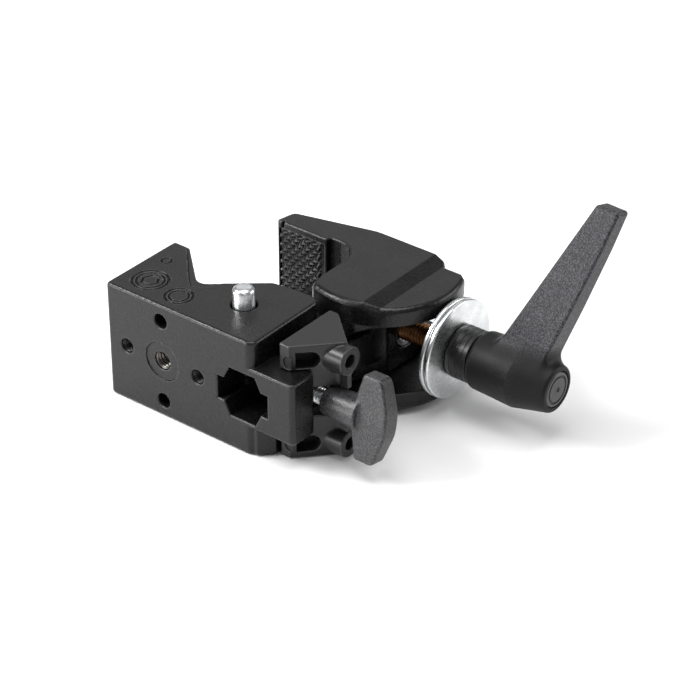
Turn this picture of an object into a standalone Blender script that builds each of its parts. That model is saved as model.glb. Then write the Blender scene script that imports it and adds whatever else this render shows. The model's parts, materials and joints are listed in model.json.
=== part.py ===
"""Super clamp with a ratchet lever, a stud socket and a stored flat-surface wedge.

The dimensions are millimetres in the clamp's own axes: X runs along the front plate from its left edge,
Y from the front plate towards the moving jaw, and Z up from the flat underside. The clamp lies on its side,
so the axis of the tube that it would hold is vertical.
"""
import math

import bmesh
import bpy
from mathutils import Matrix, Vector

MM = 0.001
GAP = 0.3                     # clearance between pieces that touch or slide on each other
ARC_STEP = math.radians(15)   # longest step along a rounded corner
ROUND_SIDES = 32              # sides of a turned piece

# fixed jaw
BODY_HEIGHT = 42.0
MID_Z = BODY_HEIGHT / 2
PLATE_WIDTH = 61.5
HORN_Y = 33.6                 # end of the horn left of the V
SHOULDER_Y = 34.8             # end of the shoulder right of the V
V_LEFT_X, V_RIGHT_X = 6.6, 42.2
V_POINT = (23.4, 18.1)
V_RADIUS = 4.0

# stud socket and T-knob boss
SOCKET_RIGHT_X = 77.6
SOCKET_DEPTH = 10.6
SOCKET_BOTTOM, SOCKET_TOP = 10.5, 32.8
STUD_X = 56.8                 # axis of the stud socket
HEX_HALF_HEIGHT = 8.85
HEX_FLAT_HALF = 5.1
HEX_SIDE_HALF = 7.5
KEYWAY_HALF_WIDTH = 10.2
KEYWAY_HALF_HEIGHT = 4.15
SOCKET_END_Y = 27.0
KNOB_Y = 16.0                 # axis of the T-knob, parallel to X
KNOB_BOSS_RADIUS = 8.6
KNOB_BOSS_X = 73.0

# threads in the front plate
THREAD_CENTRE = (23.3, MID_Z)
THREAD_CROSS = 15.0           # from the centre thread to each hole of the cross
CROSS_HOLE_RADIUS = 2.5
CROSS_HOLE_DEPTH = 11.0
INSERT_BORE_RADIUS = 3.5
INSERT_RADIUS = 3.2
INSERT_INNER_RADIUS = 2.6
INSERT_DEPTH = 13.0

# lock pin
PIN_AXIS = (43.8, 17.1)
PIN_RADIUS = 3.7
PIN_HOLE_RADIUS = 4.35
PIN_BOTTOM, PIN_TOP = 13.4, 48.6
PIN_NECK_RADIUS = 2.8
PIN_NECK_BOTTOM, PIN_NECK_TOP = 22.6, 31.0   # drops to the keyway as the pin is pressed
PLUG_BOTTOM, PLUG_TOP = 0.4, 4.0
PIN_SPRING_COILS = 3

# pivot and tongue
PIVOT = (58.0, 44.0)
PIVOT_PIN_RADIUS = 4.0
PIVOT_BLIND_TOP = 39.7
TONGUE_BOTTOM, TONGUE_TOP = 8.6, 33.4
RIB_BOTTOM, RIB_TOP = 15.0, 27.0
SCREW_Y = 64.7                # axis of the clamp screw, parallel to X
NUT_LEFT_X, NUT_RIGHT_X = 66.0, 73.0
NUT_RADIUS = 6.0
NUT_FLANGE_RADIUS = 7.2
NUT_FLANGE_WIDTH = 1.6

# moving jaw
CAM_CENTRE = (63.0, SCREW_Y)  # centre of the jaw's rounded end
CAM_RADIUS = 26.5
JAW_WALL = 8.2
PAD_FACE_Y = 65.3
BOLT_SLOT_X = 61.2            # end of the back wall's slot, which the screw enters as the jaw opens
BOLT_SLOT_HALF = 5.4
JAW_BACK_Y = 80.3
SHELF_DROP = 1.8
RAMP_X, SHELF_X = 72.3, 77.4
PAD_X = (18.5, 37.0)
PAD_Z = (3.0, 39.0)
PAD_Y = (64.5, 67.8)

# clamp screw, washers and lever
SCREW_RADIUS = 4.0
SCREW_TIP_X = 54.1
SCREW_END_X = 111.2
WASHER_RADIUS = 17.0
WASHER_HOLE_RADIUS = 4.6
WASHER_THICKNESS = 1.75
WASHER_X = CAM_CENTRE[0] + CAM_RADIUS + GAP
SLEEVE_X = WASHER_X + 2 * (WASHER_THICKNESS + GAP)
SLEEVE_RADIUS = 9.0
SPLINE_RADIUS = 7.0
HUB_X, HUB_WAIST_X, HUB_END_X = 102.3, 119.0, 132.0
HUB_RADIUS, HUB_WAIST_RADIUS, HUB_END_RADIUS = 9.9, 10.5, 7.8
BULKHEAD_X = (118.0, 120.0)
CHAMBER_RADIUS = 6.2
CAP_X = 130.4
CAP_RADIUS = 5.9
LEVER_TILT = math.radians(17)  # the lever's turn about the screw, away from straight up
LEVER_BASE = {"reach": 6.0, "left": 109.0, "right": 127.4, "half": 4.9}
LEVER_TIP = {"reach": 62.2, "left": 132.9, "right": 141.4, "half": 3.2}

# T-knob
KNOB_SHANK_X = 78.6
WING_X, WING_BULGE_X = 90.8, 103.6
WING_END_X = (92.8, 100.0)     # across each of the wing's ends
WING_HALF_HEIGHT = 14.8
WING_HALF_THICKNESS = 3.4
KNOB_TURN = math.radians(-10)
KNOB_STUD_RADIUS = 2.9
KNOB_TRAVEL_IN = 3.0          # from the stored position until the tip meets a stud in the socket
KNOB_STUD_X = (69.1, 86.0)
KNOB_TIP_X = 67.4

# wedge
WEDGE_BOTTOM = 0.3
WEDGE_LEFT_X = 67.1
WEDGE_BOSS_X = 85.6
WEDGE_BOSS_Y = 18.5
WEDGE_BOSS_RADIUS = 4.8
WEDGE_BOSS_HOLE_RADIUS = 2.4
WEDGE_BOSS_RISE = 15.3        # from the mid height to each boss's axis
WEDGE_RIB_RISE = 12.1         # from the mid height to each end of the rib, inside the bosses' walls


# ---------------------------------------------------------------- materials

def material(name, colour, roughness, metallic):
    made = bpy.data.materials.new(name)
    made.use_nodes = True
    shader = made.node_tree.nodes["Principled BSDF"]
    shader.inputs["Base Color"].default_value = (*colour, 1.0)
    shader.inputs["Roughness"].default_value = roughness
    shader.inputs["Metallic"].default_value = metallic
    return made


# ---------------------------------------------------------------- outlines

def arc(centre, radius, start, end):
    """Points on an arc from one angle to another, in degrees."""
    first, last = math.radians(start), math.radians(end)
    steps = max(2, math.ceil(abs(last - first) / ARC_STEP))
    angles = [first + (last - first) * i / steps for i in range(steps + 1)]
    return [(centre[0] + radius * math.cos(a), centre[1] + radius * math.sin(a)) for a in angles]


def rounded(corners):
    """An outline through corners (x, y, radius), each rounded with its own radius."""
    outline = []
    for i, (x, y, radius) in enumerate(corners):
        here = Vector((x, y))
        before = (Vector(corners[i - 1][:2]) - here).normalized()
        after = (Vector(corners[(i + 1) % len(corners)][:2]) - here).normalized()
        if radius == 0:
            outline.append((x, y))
            continue
        half = before.angle(after) / 2
        centre = here + (before + after).normalized() * radius / math.sin(half)
        start = here + before * radius / math.tan(half) - centre
        end = here + after * radius / math.tan(half) - centre
        turn = start.angle_signed(end)
        steps = max(2, math.ceil(abs(turn) / ARC_STEP))
        for step in range(steps + 1):
            spoke = start.copy()
            spoke.rotate(Matrix.Rotation(-turn * step / steps, 2))
            outline.append(tuple(centre + spoke))
    return outline


def box_outline(low, high):
    return [(low[0], low[1]), (high[0], low[1]), (high[0], high[1]), (low[0], high[1])]


# ---------------------------------------------------------------- solids

def finish_mesh(name, mesh, origin):
    """Close the bmesh into an object whose origin is the given point."""
    bmesh.ops.recalc_face_normals(mesh, faces=mesh.faces)
    bmesh.ops.transform(mesh, matrix=Matrix.Translation(-Vector(origin)), verts=mesh.verts)
    bmesh.ops.scale(mesh, vec=(MM, MM, MM), verts=mesh.verts)
    data = bpy.data.meshes.new(name)
    mesh.to_mesh(data)
    mesh.free()
    made = bpy.data.objects.new(name, data)
    made.location = Vector(origin) * MM
    bpy.context.scene.collection.objects.link(made)
    return made


def axis_matrix(axis):
    """Turn a shape drawn in its own (u, v, along) onto X, Y or Z."""
    columns = {"X": ((0, 1, 0), (0, 0, 1), (1, 0, 0)), "Y": ((1, 0, 0), (0, 0, 1), (0, 1, 0)),
               "Z": ((1, 0, 0), (0, 1, 0), (0, 0, 1))}[axis]
    return Matrix(columns).transposed()


def prism(name, outline, low, high, axis="Z", origin=(0, 0, 0)):
    """An outline extruded along an axis: (x, y) for Z, (x, z) for Y and (y, z) for X."""
    mesh = bmesh.new()
    turn = axis_matrix(axis)
    ends = [[mesh.verts.new(turn @ Vector((u, v, along))) for u, v in outline] for along in (low, high)]
    mesh.faces.new(ends[0])
    mesh.faces.new(reversed(ends[1]))
    for i in range(len(outline)):
        j = (i + 1) % len(outline)
        mesh.faces.new((ends[0][i], ends[0][j], ends[1][j], ends[1][i]))
    return finish_mesh(name, mesh, origin)


def turned(name, profile, axis, centre, ring=False, origin=(0, 0, 0), sides=ROUND_SIDES):
    """A profile of (along, radius) turned about an axis; a ring's profile closes on itself."""
    mesh = bmesh.new()
    turn = axis_matrix(axis)
    loops = []
    for along, radius in profile:
        spots = sides if radius > 0 else 1
        angles = [2 * math.pi * i / sides for i in range(spots)]
        points = [(centre[0] + radius * math.cos(a), centre[1] + radius * math.sin(a), along) for a in angles]
        loops.append([mesh.verts.new(turn @ Vector(point)) for point in points])
    pairs = list(zip(loops, loops[1:]))
    if ring:
        pairs.append((loops[-1], loops[0]))
    for first, second in pairs:
        for i in range(sides):
            j = (i + 1) % sides
            corners = [first[i % len(first)], first[j % len(first)]]
            corners += [second[j % len(second)], second[i % len(second)]]
            mesh.faces.new(list(dict.fromkeys(corners)))
    made = finish_mesh(name, mesh, origin)
    smooth(made)
    return made


def bar(name, radius, low, high, axis, centre, origin=(0, 0, 0), sides=ROUND_SIDES):
    profile = [(low, 0), (low, radius), (high, radius), (high, 0)]
    return turned(name, profile, axis, centre, origin=origin, sides=sides)


def coil(name, axis, centre, low, high, radius, wire, turns, origin=(0, 0, 0)):
    """A compression spring: a round wire along a helix."""
    mesh = bmesh.new()
    turn = axis_matrix(axis)
    steps_per_turn, wire_sides = 12, 6
    start, rise = low + wire, high - low - 2 * wire
    loops = []
    for step in range(turns * steps_per_turn + 1):
        angle = 2 * math.pi * step / steps_per_turn
        along = start + rise * step / (turns * steps_per_turn)
        loop = []
        for side in range(wire_sides):
            tilt = 2 * math.pi * side / wire_sides
            reach = radius + wire * math.cos(tilt)
            point = (centre[0] + reach * math.cos(angle), centre[1] + reach * math.sin(angle),
                     along + wire * math.sin(tilt))
            loop.append(mesh.verts.new(turn @ Vector(point)))
        loops.append(loop)
    for first, second in zip(loops, loops[1:]):
        for i in range(wire_sides):
            j = (i + 1) % wire_sides
            mesh.faces.new((first[i], first[j], second[j], second[i]))
    mesh.faces.new(loops[0])
    mesh.faces.new(reversed(loops[-1]))
    made = finish_mesh(name, mesh, origin)
    smooth(made)
    return made


def smooth(made):
    made.data.shade_smooth()
    made.data.set_sharp_from_angle(angle=math.radians(35))


def combine(target, tool, operation):
    """Cut a tool from a solid, or join it on, and hide the tool."""
    modifier = target.modifiers.new(tool.name, "BOOLEAN")
    modifier.operation = operation
    modifier.solver = "EXACT"
    modifier.object = tool
    tool.hide_render = True
    tool.display_type = "WIRE"


def cut(target, *tools):
    for tool in tools:
        combine(target, tool, "DIFFERENCE")


def join(target, *tools):
    for tool in tools:
        combine(target, tool, "UNION")


def paint(made, finish):
    made.data.materials.append(finish)
    return made


# ---------------------------------------------------------------- fixed jaw

def socket_outline():
    """Hexagonal stud socket with a keyway on each side, as (x, z)."""
    key_shoulder = HEX_SIDE_HALF
    right = [(HEX_FLAT_HALF, -HEX_HALF_HEIGHT), (key_shoulder, -KEYWAY_HALF_HEIGHT),
             (KEYWAY_HALF_WIDTH, -KEYWAY_HALF_HEIGHT), (KEYWAY_HALF_WIDTH, KEYWAY_HALF_HEIGHT),
             (key_shoulder, KEYWAY_HALF_HEIGHT), (HEX_FLAT_HALF, HEX_HALF_HEIGHT)]
    left = [(-x, z) for x, z in reversed(right)]
    return [(STUD_X + x, MID_Z + z) for x, z in right + left]


def tongue_outline():
    return rounded([(48, 30, 0), (65, 30, 0), (67, 44, 4), (NUT_RIGHT_X, 54, 3), (NUT_RIGHT_X, 71.8, 1.5),
                    (NUT_LEFT_X, 71.8, 1.5), (NUT_LEFT_X, 59.5, 0), (53.5, 50, 3), (51, 44, 4)])


def body_casting():
    plate = rounded([(0, 0, 1.5), (PLATE_WIDTH, 0, 3), (PLATE_WIDTH - 0.4, SHOULDER_Y, 4),
                     (52, SHOULDER_Y + 0.1, 0), (V_RIGHT_X, HORN_Y, 3), (*V_POINT, V_RADIUS),
                     (V_LEFT_X, HORN_Y, 0.8), (0, HORN_Y, 1.2)])
    body = prism("body_casting", plate, 0, BODY_HEIGHT)
    seam = 0.05
    join(body,
         prism("body_socket_block", rounded([(55, seam, 0), (SOCKET_RIGHT_X, seam, 1.5),
                                             (SOCKET_RIGHT_X, SOCKET_DEPTH, 1), (55, SOCKET_DEPTH, 0)]),
               SOCKET_BOTTOM, SOCKET_TOP),
         bar("body_knob_boss", KNOB_BOSS_RADIUS, 56, KNOB_BOSS_X, "X", (KNOB_Y, MID_Z)),
         prism("body_gusset", [(58, 0.7), (62, 0.7), (66.3, 5), (66.3, 28), (58, 28)], seam, SOCKET_BOTTOM + 1),
         prism("body_tongue", tongue_outline(), TONGUE_BOTTOM, TONGUE_TOP),
         prism("body_tongue_rib", [(58, 33), (69, 33), (70.5, 44), (71.5, 56), (62, 54)], RIB_BOTTOM, RIB_TOP))
    cut(body,
        prism("cut_socket", socket_outline(), -2, SOCKET_END_Y, axis="Y"),
        bar("cut_pin_hole", PIN_HOLE_RADIUS, -2, BODY_HEIGHT + 2, "Z", PIN_AXIS),
        bar("cut_knob_thread", KNOB_STUD_RADIUS + GAP, STUD_X, KNOB_BOSS_X + 2, "X", (KNOB_Y, MID_Z)),
        bar("cut_insert_bore", INSERT_BORE_RADIUS, -2, INSERT_DEPTH, "Y", THREAD_CENTRE),
        bar("cut_pivot_hole", PIVOT_PIN_RADIUS + GAP, 0, BODY_HEIGHT, "Z", PIVOT),
        bar("cut_nut_bore", NUT_RADIUS + GAP, NUT_LEFT_X - 4, NUT_RIGHT_X + 2, "X", (SCREW_Y, MID_Z)),
        bar("cut_nut_seat", NUT_FLANGE_RADIUS + GAP, NUT_LEFT_X - 4, NUT_LEFT_X + NUT_FLANGE_WIDTH + GAP,
            "X", (SCREW_Y, MID_Z)))
    for name, dx, dz in (("left", -1, 0), ("right", 1, 0), ("top", 0, 1), ("bottom", 0, -1)):
        centre = (THREAD_CENTRE[0] + dx * THREAD_CROSS, THREAD_CENTRE[1] + dz * THREAD_CROSS)
        cut(body, bar("cut_cross_" + name, CROSS_HOLE_RADIUS, -2, CROSS_HOLE_DEPTH, "Y", centre, sides=20))
    return body


def camera_thread_insert():
    low, high = 1.0, INSERT_DEPTH - GAP
    profile = [(low, INSERT_INNER_RADIUS), (low, INSERT_RADIUS), (high, INSERT_RADIUS), (high, INSERT_INNER_RADIUS)]
    return turned("camera_thread_insert", profile, "Y", THREAD_CENTRE, ring=True, sides=24)


def clamp_nut():
    flange_end = NUT_LEFT_X + GAP + NUT_FLANGE_WIDTH
    bore = SCREW_RADIUS + GAP
    profile = [(NUT_LEFT_X + GAP, bore), (NUT_LEFT_X + GAP, NUT_FLANGE_RADIUS), (flange_end - GAP, NUT_FLANGE_RADIUS),
               (flange_end - GAP, NUT_RADIUS), (NUT_RIGHT_X - GAP, NUT_RADIUS), (NUT_RIGHT_X - GAP, bore)]
    return turned("clamp_nut", profile, "X", (SCREW_Y, MID_Z), ring=True)


def pivot_pin():
    chamfer = 0.6
    low, high = 0.5, PIVOT_BLIND_TOP - GAP
    profile = [(low, 0), (low, PIVOT_PIN_RADIUS - chamfer), (low + chamfer, PIVOT_PIN_RADIUS),
               (high - chamfer, PIVOT_PIN_RADIUS), (high, PIVOT_PIN_RADIUS - chamfer), (high, 0)]
    return turned("pivot_pin", profile, "Z", PIVOT, sides=24)


def pivot_pin_ring():
    """Open retaining ring around the pivot pin's lower end."""
    inner, outer, opening = PIVOT_PIN_RADIUS + GAP, PIVOT_PIN_RADIUS + 2.0, 35
    outline = arc(PIVOT, outer, opening, 360 - opening) + arc(PIVOT, inner, 360 - opening, opening)
    return prism("pivot_pin_ring", outline, 0.6, 1.5)


def lock_pin():
    neck = 0.6
    dome = [(PIN_TOP - 1.2, PIN_RADIUS), (PIN_TOP - 0.5, PIN_RADIUS - 0.5), (PIN_TOP - 0.1, PIN_RADIUS - 1.6),
            (PIN_TOP, 0)]
    profile = [(PIN_BOTTOM, 0), (PIN_BOTTOM, PIN_RADIUS), (PIN_NECK_BOTTOM - neck, PIN_RADIUS),
               (PIN_NECK_BOTTOM, PIN_NECK_RADIUS), (PIN_NECK_TOP, PIN_NECK_RADIUS), (PIN_NECK_TOP + neck, PIN_RADIUS)]
    return turned("lock_pin", profile + dome, "Z", PIN_AXIS, origin=(*PIN_AXIS, PIN_BOTTOM), sides=24)


def lock_pin_spring():
    return coil("lock_pin_spring", "Z", PIN_AXIS, PLUG_TOP + GAP, PIN_BOTTOM - GAP, PIN_RADIUS - 0.9, 0.4,
                PIN_SPRING_COILS, origin=(*PIN_AXIS, PLUG_TOP))


def lock_pin_plug():
    return bar("lock_pin_plug", PIN_HOLE_RADIUS - GAP, PLUG_BOTTOM, PLUG_TOP, "Z", PIN_AXIS, sides=24)


# ---------------------------------------------------------------- moving jaw

def jaw_outline():
    """Plan of the moving jaw: pad arm, throat, round cam end and back edge."""
    throat_y, flank_x, throat_radius = 67.2, 51.5, 8.5
    cam = [(x, y, 0) for x, y in arc(CAM_CENTRE, CAM_RADIUS, -108, 26)]
    front = [(17.2, PAD_FACE_Y, 0.8), (38.2, PAD_FACE_Y, 0.5), (39.0, throat_y, 0.8),
             (flank_x, throat_y, throat_radius), (flank_x, 39.8, 3.5)]
    back = [(84.6, 78.1, 1), (78, 78.1, 0.8), (75.8, JAW_BACK_Y, 1), (48.5, JAW_BACK_Y, 12), (18.6, 72.8, 2.5)]
    return rounded(front + cam + back)


def jaw_casting():
    pivot = (*PIVOT, 0)
    jaw = prism("jaw_casting", jaw_outline(), 0, BODY_HEIGHT, origin=pivot)
    channel = [(40, 30), (100, 30), (100, 76.4), (47, 76.4), (47, 70.5), (52.5, 65.5), (53, 58.5), (40, 57.5)]
    step = 30
    for name, base, sign in (("top", BODY_HEIGHT, 1), ("bottom", 0, -1)):
        wedge = [(RAMP_X - 1, base + sign * SHELF_DROP * 1 / (SHELF_X - RAMP_X)), (SHELF_X, base - sign * SHELF_DROP),
                 (100, base - sign * SHELF_DROP), (100, base + sign * 5), (RAMP_X - 1, base + sign * 5)]
        cut(jaw, prism("cut_shelf_" + name, wedge, step, 95, axis="Y", origin=pivot))
    cut(jaw,
        prism("cut_bolt_slot", box_outline((BOLT_SLOT_X, MID_Z - BOLT_SLOT_HALF), (95, MID_Z + BOLT_SLOT_HALF)),
              74, 90, axis="Y", origin=pivot),
        prism("cut_channel", channel, JAW_WALL, BODY_HEIGHT - JAW_WALL, origin=pivot),
        prism("cut_pad_recess", box_outline((PAD_X[0] - GAP, PAD_Z[0] - GAP), (PAD_X[1] + GAP, PAD_Z[1] + GAP)),
              PAD_FACE_Y - 2, PAD_Y[1] + GAP, axis="Y", origin=pivot),
        bar("cut_jaw_pivot", PIVOT_PIN_RADIUS + GAP, -2, PIVOT_BLIND_TOP, "Z", PIVOT, origin=pivot),
        bar("cut_ring_seat", PIVOT_PIN_RADIUS + 3, -2, 1.8, "Z", PIVOT, origin=pivot))
    return jaw


def jaw_pad():
    return prism("jaw_pad", box_outline((PAD_X[0], PAD_Z[0]), (PAD_X[1], PAD_Z[1])), *PAD_Y, axis="Y",
                 origin=(*PIVOT, 0))


# ---------------------------------------------------------------- clamp screw and lever

SCREW_CENTRE = (SCREW_Y, MID_Z)


def screw_point(x):
    return (x, SCREW_Y, MID_Z)


def washer(name, x):
    edge = 0.3
    high = x + WASHER_THICKNESS
    profile = [(x, WASHER_HOLE_RADIUS), (x, WASHER_RADIUS - edge), (x + edge, WASHER_RADIUS),
               (high - edge, WASHER_RADIUS), (high, WASHER_RADIUS - edge), (high, WASHER_HOLE_RADIUS)]
    return turned(name, profile, "X", SCREW_CENTRE, ring=True, origin=screw_point(x), sides=48)


def screw_stud():
    chamfer = 0.8
    profile = [(SCREW_TIP_X, 0), (SCREW_TIP_X, SCREW_RADIUS - chamfer), (SCREW_TIP_X + chamfer, SCREW_RADIUS),
               (SCREW_END_X, SCREW_RADIUS), (SCREW_END_X, 0)]
    return turned("screw_stud", profile, "X", SCREW_CENTRE, origin=screw_point(SCREW_TIP_X), sides=24)


def lever_sleeve():
    bore, screw_bore, floor_x, end_x = SCREW_RADIUS + GAP, 2.5 + GAP, SCREW_END_X + GAP, 116.5
    shoulder = HUB_X - GAP
    profile = [(SLEEVE_X, bore), (SLEEVE_X, SLEEVE_RADIUS), (shoulder, SLEEVE_RADIUS), (shoulder, SPLINE_RADIUS),
               (end_x, SPLINE_RADIUS), (end_x, screw_bore), (floor_x, screw_bore), (floor_x, bore)]
    return turned("lever_sleeve", profile, "X", SCREW_CENTRE, ring=True, origin=screw_point(SLEEVE_X))


def lever_retaining_screw():
    profile = [(112, 0), (112, 2.5), (127, 2.5), (127, 5.0), (129.6, 5.0), (129.6, 0)]
    return turned("lever_retaining_screw", profile, "X", SCREW_CENTRE, origin=screw_point(112), sides=24)


def lever_spring():
    return coil("lever_spring", "X", SCREW_CENTRE, BULKHEAD_X[1] + GAP, 127 - GAP, 4.4, 0.45, 3,
                origin=screw_point(BULKHEAD_X[1]))


def lever_corner(station, x, side):
    """A corner of the lever's arm: reach from the screw's axis, place along it, and side."""
    along = Vector((0, math.sin(LEVER_TILT), math.cos(LEVER_TILT)))
    across = Vector((0, math.cos(LEVER_TILT), -math.sin(LEVER_TILT)))
    return Vector(screw_point(x)) + along * station["reach"] + across * side * station["half"]


def lever_handle():
    hub_profile = [(HUB_X, 0), (HUB_X, HUB_RADIUS), (HUB_WAIST_X, HUB_WAIST_RADIUS), (HUB_END_X, HUB_END_RADIUS),
                   (HUB_END_X, 0)]
    start = screw_point(HUB_X)
    lever = turned("lever_handle", hub_profile, "X", SCREW_CENTRE, origin=start)
    mesh = bmesh.new()
    ends = []
    for station in (LEVER_BASE, LEVER_TIP):
        sides = ((station["left"], -1), (station["right"], -1), (station["right"], 1), (station["left"], 1))
        ends.append([mesh.verts.new(lever_corner(station, x, side)) for x, side in sides])
    mesh.faces.new(ends[0])
    mesh.faces.new(reversed(ends[1]))
    for i in range(4):
        j = (i + 1) % 4
        mesh.faces.new((ends[0][i], ends[0][j], ends[1][j], ends[1][i]))
    join(lever, finish_mesh("lever_arm", mesh, start))
    bore = SPLINE_RADIUS + GAP
    cavity = [(HUB_X - 2, 0), (HUB_X - 2, bore), (BULKHEAD_X[0], bore), (BULKHEAD_X[0], 3.2), (BULKHEAD_X[1], 3.2),
              (BULKHEAD_X[1], CHAMBER_RADIUS), (HUB_END_X + 2, CHAMBER_RADIUS), (HUB_END_X + 2, 0)]
    cut(lever, turned("cut_lever_cavity", cavity, "X", SCREW_CENTRE, origin=start))
    return lever


def lever_end_cap():
    return bar("lever_end_cap", CAP_RADIUS, CAP_X, HUB_END_X, "X", SCREW_CENTRE, origin=screw_point(CAP_X))


# ---------------------------------------------------------------- T-knob

def knob_point(x):
    return (x, KNOB_Y, MID_Z)


def t_knob_wing():
    start = knob_point(KNOB_SHANK_X)
    shank = [(KNOB_SHANK_X, 0), (KNOB_SHANK_X, 4.6), (KNOB_SHANK_X + 0.6, 5.0), (WING_X + 1.5, 5.6), (WING_X + 1.5, 0)]
    knob = turned("t_knob_wing", shank, "X", (KNOB_Y, MID_Z), origin=start)
    half = WING_HALF_HEIGHT
    left, right = WING_END_X
    side = rounded([(left, -half, 1.5), (right, -half, 2.5), (WING_BULGE_X, -4, 12), (WING_BULGE_X, 4, 12),
                    (right, half, 2.5), (left, half, 1.5), (WING_X, 6, 8), (WING_X, -6, 8)])
    outline = [(x, MID_Z + z) for x, z in side]
    wing = prism("t_knob_blade", outline, KNOB_Y - WING_HALF_THICKNESS, KNOB_Y + WING_HALF_THICKNESS, axis="Y",
                 origin=start)
    wing.rotation_euler.x = KNOB_TURN
    join(knob, wing)
    cut(knob, bar("cut_knob_stud", KNOB_STUD_RADIUS + GAP, KNOB_SHANK_X - 2, KNOB_STUD_X[1] + GAP, "X",
                  (KNOB_Y, MID_Z), origin=start, sides=24))
    return knob


def t_knob_stud():
    return bar("t_knob_stud", KNOB_STUD_RADIUS, *KNOB_STUD_X, "X", (KNOB_Y, MID_Z),
               origin=knob_point(KNOB_STUD_X[0]), sides=24)


def knob_pressure_tip():
    return bar("knob_pressure_tip", 2.5, KNOB_TIP_X, KNOB_STUD_X[0] - GAP, "X", (KNOB_Y, MID_Z),
               origin=knob_point(KNOB_TIP_X), sides=20)


# ---------------------------------------------------------------- wedge

def wedge_insert():
    origin = (WEDGE_LEFT_X, KNOB_Y, MID_Z)
    outline = rounded([(WEDGE_LEFT_X, 6.3, 0.5), (70.9, 6.2, 0.5), (83.6, 19.7, 1.2), (70.6, 31.4, 1.5),
                       (WEDGE_LEFT_X, 31.4, 0.8)])
    wedge = prism("wedge_insert", outline, WEDGE_BOTTOM, BODY_HEIGHT, origin=origin)
    join(wedge, prism("wedge_rib", box_outline((79, WEDGE_BOSS_Y - 1), (WEDGE_BOSS_X - 0.4, WEDGE_BOSS_Y + 1)),
                      MID_Z - WEDGE_RIB_RISE, MID_Z + WEDGE_RIB_RISE, origin=origin))
    for name, sign in (("upper", 1), ("lower", -1)):
        centre = (WEDGE_BOSS_Y, MID_Z + sign * WEDGE_BOSS_RISE)
        join(wedge, bar("wedge_boss_" + name, WEDGE_BOSS_RADIUS, 74.3, WEDGE_BOSS_X, "X", centre, origin=origin, sides=28))
        cut(wedge, bar("cut_boss_" + name, WEDGE_BOSS_HOLE_RADIUS, 76, WEDGE_BOSS_X + 2, "X", centre, origin=origin,
                       sides=16))
    shank_half, neck_half = 5.3, 3.4
    cut(wedge,
        prism("cut_wedge_block", box_outline((60, 2), (SOCKET_RIGHT_X + GAP, SOCKET_DEPTH + GAP)),
              SOCKET_BOTTOM - GAP, SOCKET_TOP + GAP, origin=origin),
        prism("cut_wedge_boss", box_outline((60, 3.5), (KNOB_BOSS_X + GAP, KNOB_Y + KNOB_BOSS_RADIUS + GAP)),
              MID_Z - KNOB_BOSS_RADIUS - GAP, MID_Z + KNOB_BOSS_RADIUS + GAP, origin=origin),
        prism("cut_wedge_neck", box_outline((60, 3), (80, KNOB_Y + neck_half)),
              MID_Z - neck_half, MID_Z + neck_half, origin=origin),
        prism("cut_wedge_shank", box_outline((KNOB_SHANK_X - KNOB_TRAVEL_IN - GAP, 2.5), (95, 25)),
              MID_Z - shank_half, MID_Z + shank_half, origin=origin))
    return wedge


# ---------------------------------------------------------------- assembly

def build_pieces():
    black_cast = material("black_cast_aluminium", (0.018, 0.018, 0.020), 0.42, 0.0)
    dark_plastic = material("black_moulded_plastic", (0.022, 0.022, 0.024), 0.5, 0.0)
    grey_plastic = material("dark_grey_plastic", (0.030, 0.030, 0.032), 0.45, 0.0)
    rubber = material("black_rubber", (0.014, 0.014, 0.014), 0.7, 0.0)
    zinc = material("bright_zinc", (0.78, 0.79, 0.80), 0.28, 1.0)
    steel = material("steel", (0.55, 0.55, 0.56), 0.35, 1.0)
    bronze = material("bronze_plated_steel", (0.30, 0.16, 0.07), 0.35, 1.0)
    brass = material("brass", (0.75, 0.55, 0.22), 0.3, 1.0)
    second_washer = WASHER_X + WASHER_THICKNESS + GAP
    return [
        paint(body_casting(), black_cast), paint(camera_thread_insert(), steel), paint(clamp_nut(), steel),
        paint(pivot_pin(), steel), paint(pivot_pin_ring(), steel), paint(lock_pin(), zinc),
        paint(lock_pin_spring(), steel), paint(lock_pin_plug(), steel), paint(jaw_casting(), black_cast),
        paint(jaw_pad(), rubber), paint(washer("washer_inner", WASHER_X), zinc),
        paint(washer("washer_outer", second_washer), zinc), paint(screw_stud(), bronze),
        paint(lever_sleeve(), dark_plastic), paint(lever_retaining_screw(), steel), paint(lever_spring(), steel),
        paint(lever_handle(), dark_plastic), paint(lever_end_cap(), grey_plastic),
        paint(t_knob_wing(), dark_plastic), paint(t_knob_stud(), zinc), paint(knob_pressure_tip(), brass),
        paint(wedge_insert(), grey_plastic),
    ]


def stand_on_base(pieces):
    """Parent everything to one empty that puts the origin under the middle of the clamp."""
    root = bpy.data.objects.new("super_clamp", None)
    bpy.context.scene.collection.objects.link(root)
    for made in bpy.data.objects:
        if made is not root:
            made.parent = root
    bpy.context.view_layer.update()
    graph = bpy.context.evaluated_depsgraph_get()
    corners = []
    for piece in pieces:
        shaped = piece.evaluated_get(graph)
        corners += [shaped.matrix_world @ vertex.co for vertex in shaped.to_mesh().vertices]
    low = [min(corner[i] for corner in corners) for i in range(3)]
    high = [max(corner[i] for corner in corners) for i in range(3)]
    root.location = (-(low[0] + high[0]) / 2, -(low[1] + high[1]) / 2, -low[2])
    bpy.context.view_layer.update()


def main():
    for old in list(bpy.data.objects):
        bpy.data.objects.remove(old)
    stand_on_base(build_pieces())


main()
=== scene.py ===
"""Looks of the super clamp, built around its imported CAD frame.

The shapes are worked out in millimetres in the clamp's own axes, whose origin is the lower front left corner
of the fixed jaw: X runs along the front plate to the lever, Y from the plate to the moving jaw, and Z up.
Cast and moulded pieces are distance fields turned into meshes, which gives them their fillets and rounded
edges. Turned pieces are a radius for each place along an axis and each angle round it, threads included.
"""

import json
import math

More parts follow.
